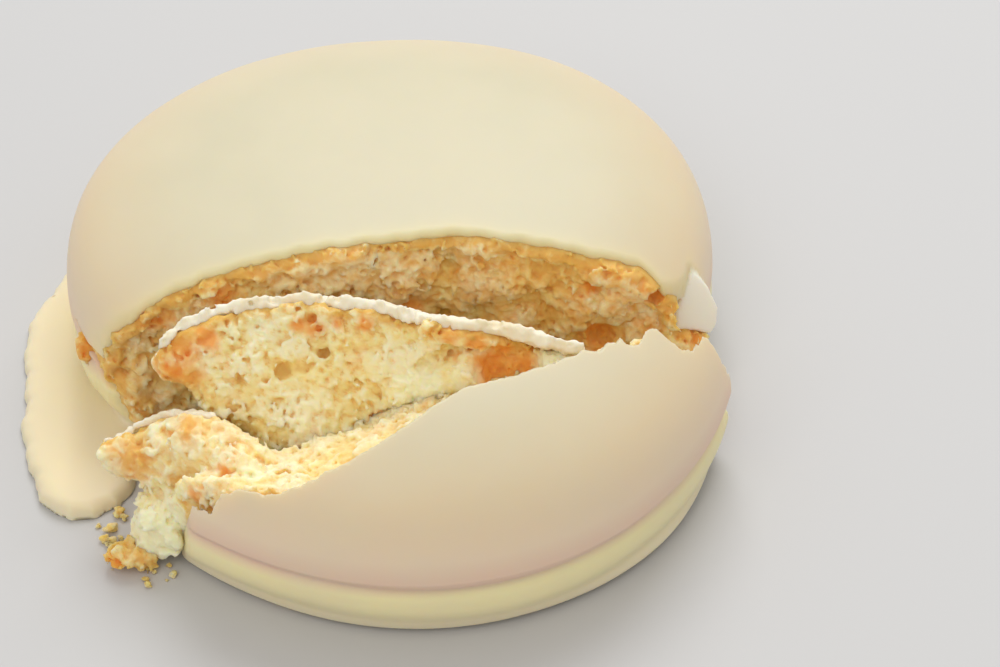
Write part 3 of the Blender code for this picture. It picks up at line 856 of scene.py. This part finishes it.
def broken_icing_material():
    """The paler, grainy icing of a broken edge."""
    material, tree, shader = start_material("broken icing")
    place = object_places(tree)
    tone = ramp(tree, noise(tree, place, 220.0, 3.0), (
        (0.30, linear(236, 222, 190)),
        (0.55, linear(243, 236, 215)),
        (0.80, linear(247, 243, 228)),
    ))  # fmt: skip
    tree.links.new(tone, shader.inputs["Base Color"])
    add_bumps(tree, shader, noise(tree, place, 1400.0, 4.0), 0.5, 0.0002)
    shader.inputs["Roughness"].default_value = 0.7
    let_light_in(shader, 0.4, (1.0, 0.8, 0.5), 0.0015, 0.25)
    return material


def crumb_material():
    """Yellow crumb with painted shade, darker and more golden in its hollows and where it lies low, and
    browner, golden or paler where its mesh says so.
    """
    material, tree, shader = start_material("sponge crumb")
    place = object_places(tree)
    clouds = noise(tree, place, 260.0, 6.0, 0.6)
    patches = noise(tree, place, 620.0, 4.0, 0.4)
    # Random tone from clouds, with painted shade: crumb that lies below its form is made darker and more
    # golden.
    tone = blend_values(tree, "MULTIPLY_ADD", clouds, 0.4, attribute(tree, "raised"))
    tint = ramp(tree, blend_values(tree, "SUBTRACT", tone, 0.18), (
        (0.10, linear(232, 192, 110)),
        (0.34, linear(241, 212, 136)),
        (0.52, linear(246, 224, 156)),
        (0.70, linear(247, 231, 174)),
        (0.95, linear(248, 238, 198)),
    ))  # fmt: skip
    # Painted shade: the crumb is darkened to gold in its hollows, where shade falls.
    hollow_shade = grey_ramp(tree, attribute(tree, "hollow"), (0.56, 0.0), (0.86, 0.7))
    tint = mix(tree, hollow_shade, tint, linear(230, 184, 104))
    # Golden crust near the icing and at golden spots, and a golden tone over a whole piece, which on the
    # rear crumb is painted shade.
    gold_and_shade = blend_values(tree, "MULTIPLY", attribute(tree, "golden"), patches)
    tint = mix(tree, grey_ramp(tree, gold_and_shade, (0.16, 0.0), (0.44, 0.9)), tint, linear(232, 176, 88))
    half_baked = blend_values(tree, "MULTIPLY", attribute(tree, "baked"), 0.5)
    baked = blend_values(tree, "MULTIPLY_ADD", clouds, 0.9, half_baked)
    tint = mix(tree, grey_ramp(tree, baked, (0.54, 0.0), (0.86, 0.85)), tint, linear(240, 156, 66))
    pale = grey_ramp(tree, attribute(tree, "pale"), (0.25, 0.0), (0.7, 0.8))
    tint = mix(tree, pale, tint, linear(253, 248, 210))
    tree.links.new(tint, shader.inputs["Base Color"])
    add_bumps(tree, shader, noise(tree, place, 2600.0, 4.0), 0.4, 0.0002)
    shader.inputs["Roughness"].default_value = 0.8
    let_light_in(shader, 0.7, (1.0, 0.72, 0.36), 0.0022, 0.2)
    return material


# ---------------------------------------------------------------- the cake


BREAK, BREAK_SIZE = 0.13, 0.9  # how far a broken edge of icing wanders, and over what length
BREAK_GRAIN, BREAK_GRAIN_SIZE = 0.07, 0.3


def broken_icing_piece(name, node, low, high, step, seed, chips, inset):
    """Icing that shows edge-on: its solid, thinner by an inset, with a ragged, chipped edge."""
    grid = Grid(low, high, step)
    rng = np.random.default_rng(seed)
    field = soften(solid_field(node, grid, 2.0), 1)
    wander = BREAK * np.tanh(2.5 * grid_noise(grid, BREAK_SIZE, rng))
    field += wander + BREAK_GRAIN * grid_noise(grid, BREAK_GRAIN_SIZE, rng) + inset
    skin = np.argwhere(np.abs(field) < 0.2)
    spots = skin[rng.integers(0, len(skin), chips)] * step + grid.low
    stamp_balls(grid, field, spots, 0.2 + 0.4 * rng.random(chips) ** 2, add=False)
    points, quads = skin_of(grid, field)
    return new_piece(name, points, quads, broken_icing, node)


def crumb_ball(rng, radius):
    """(points, faces) of one lumpy crumb that lies on z = 0."""
    lump_depth = 0.16
    flattened = (1.0, 0.9, 0.75)
    ball = bmesh.new()
    bmesh.ops.create_icosphere(ball, subdivisions=3, radius=1.0)
    shape = np.array([v.co[:] for v in ball.verts])
    corners = np.array([[v.index for v in face.verts] for face in ball.faces])
    ball.free()
    lumps = sum(np.sin(shape @ (rng.standard_normal(3) * 3.0) + rng.random() * 6) for _ in range(5))
    shape = shape * (1 + lump_depth * lumps)[:, None] * radius * flattened
    shape[:, 2] -= shape[:, 2].min()
    return shape, corners


def scattered_crumbs():
    """Small crumbs lying round the left end, in one mesh."""
    rng = np.random.default_rng(15)
    points, faces, count = [], [], 0
    for x, y, spread, number, largest in CRUMB_DRIFTS:
        for _ in range(number):
            shape, corners = crumb_ball(rng, largest * (0.35 + 0.65 * rng.random()))
            shape[:, :2] += (x, y) + rng.standard_normal(2) * spread
            points.append(shape)
            faces.append(corners + count)
            count += len(shape)
    points, faces = np.concatenate(points), np.concatenate(faces)
    values = {"golden": np.full(len(points), 0.7), "raised": 0.8 + 0.3 * np.sin(points.sum(1) * 3)}
    new_piece("scattered_crumbs", points, faces, crumb, values=values)


icing = icing_material()
broken_icing = broken_icing_material()
crumb = crumb_material()

icing_piece(
    "rear_icing_skin", rear_form, (-45, -30, -1), (39, 37, 27), 0.46, icing, "rear_icing",
    {"flake": flake_light_mark, "lip_glow": lip_glow_mark},
)  # fmt: skip
icing_piece("front_icing_skin", front_form, (-27, -53, -1), (40, -19, 27), 0.3, icing, "front_icing")

broken_icing_piece(
    "strip_icing_skin", "tipped_strip_icing", (-27, -31, 8), (23, -13, 27), 0.2, 3, chips=200, inset=0.06
)
broken_icing_piece(
    "lobe_icing_skin", "lobe_icing", (-33, -33, 6), (-17, -23, 20), 0.2, 4, chips=50, inset=-0.06
)

# The rear crumb's strong golden tone is painted shade for the hollow of the cut that it lies in.
crumb_piece(
    "rear_crumb", "rear_sponge", (-38, -18, -1), (37, 37, 26), 0.205, 11, rear_shown, ["rear_icing"],
    fill=1.1, torn=1.3, pits=REAR_PITS, heaps=REAR_HEAPS, baked=REAR_BAKED, pale=REAR_PALE, gold_and_shade=0.64,
    bounds=under_rear_icing,
)  # fmt: skip
crumb_piece(
    "front_crumb", "front_sponge", (-36, -51, -1), (39, -18, 24), 0.222, 12, front_shown,
    ["front_icing", "lobe_icing"], heaps=FRONT_HEAPS, baked=FRONT_BAKED, pale=FRONT_PALE,
    golden=FRONT_GOLDEN, gold_and_shade=0.42,
)  # fmt: skip
crumb_piece(
    "strip_crumb", "tipped_strip", (-28, -32, -1), (23, -13, 26), 0.203, 13, all_shown,
    ["tipped_strip_icing"], fill=0.65, heaps=STRIP_HEAPS, pits=STRIP_PITS, baked=STRIP_BAKED,
    pale=STRIP_PALE, golden=STRIP_GOLDEN, gold_and_shade=0.16,
)  # fmt: skip
crumb_piece(
    "loose_crumb", "fallen_crumb", (-35, -40, -1), (-25, -31, 6), 0.15, 14, all_shown,
    proud=0.1, heaps=LOOSE_HEAPS, baked=LOOSE_BAKED, gold_and_shade=0.75,
)  # fmt: skip
scattered_crumbs()


# ---------------------------------------------------------------- floor, light and camera


def floor():
    """A wide pale surface under the cake."""
    half = 1.2
    mesh = bpy.data.meshes.new("floor")
    corners = [(-half, -half, 0), (half, -half, 0), (half, half, 0), (-half, half, 0)]
    mesh.from_pydata(corners, [], [(0, 1, 2, 3)])
    material, _, shader = start_material("pale floor")
    shader.inputs["Base Color"].default_value = (0.55, 0.55, 0.555, 1.0)
    shader.inputs["Roughness"].default_value = 0.55
    mesh.materials.append(material)
    surface = bpy.data.objects.new("floor", mesh)
    bpy.context.scene.collection.objects.link(surface)


def area_light(name, place, size, power, colour):
    """A square light, in metres, that looks at the middle of the cake's base."""
    light = bpy.data.lights.new(name, "AREA")
    light.size = size
    light.energy = power
    light.color = colour
    lamp = bpy.data.objects.new(name, light)
    lamp.location = place
    lamp.rotation_euler = (-Vector(place)).to_track_quat("-Z", "Y").to_euler()
    bpy.context.scene.collection.objects.link(lamp)


def room_light(colour, strength):
    world = bpy.data.worlds.new("soft room")
    world.use_nodes = True
    sky = world.node_tree.nodes["Background"]
    sky.inputs["Color"].default_value = (*colour, 1.0)
    sky.inputs["Strength"].default_value = strength
    bpy.context.scene.world = world


def photo_camera():
    """The photo's view, with its roll, moved so that the row frame's origin shows at its pixel."""
    ahead = Vector((0.0, math.cos(ELEVATION), -math.sin(ELEVATION)))
    flat_right = Vector((1.0, 0.0, 0.0))
    flat_up = flat_right.cross(ahead)
    right = flat_right * math.cos(ROLL) + flat_up * math.sin(ROLL)
    up = flat_up * math.cos(ROLL) - flat_right * math.sin(ROLL)
    pixels_per_mm = LENS / SENSOR * PICTURE[0] / DISTANCE
    left_by = (ORIGIN_PIXEL[0] - PICTURE[0] / 2) / pixels_per_mm
    above_by = (PICTURE[1] / 2 - ORIGIN_PIXEL[1]) / pixels_per_mm
    place = -ahead * DISTANCE - right * left_by - up * above_by
    camera = bpy.data.objects.new("photo camera", bpy.data.cameras.new("photo camera"))
    camera.data.sensor_width = SENSOR
    camera.data.lens = LENS
    camera.data.clip_start = 0.01
    camera.matrix_world = Matrix((
        (right.x, up.x, -ahead.x, place.x * MM),
        (right.y, up.y, -ahead.y, place.y * MM),
        (right.z, up.z, -ahead.z, place.z * MM),
        (0.0, 0.0, 0.0, 1.0),
    ))  # fmt: skip
    bpy.context.scene.collection.objects.link(camera)
    bpy.context.scene.camera = camera


floor()
area_light("window", (0.12, 0.45, 0.62), size=0.5, power=3.3, colour=(1.0, 1.0, 1.0))
area_light("front fill", (-0.25, -0.5, 0.7), size=0.6, power=1.6, colour=(1.0, 0.97, 0.92))
room_light((1.0, 0.985, 0.955), strength=0.66)
photo_camera()
bpy.context.scene.view_settings.view_transform = "Standard"
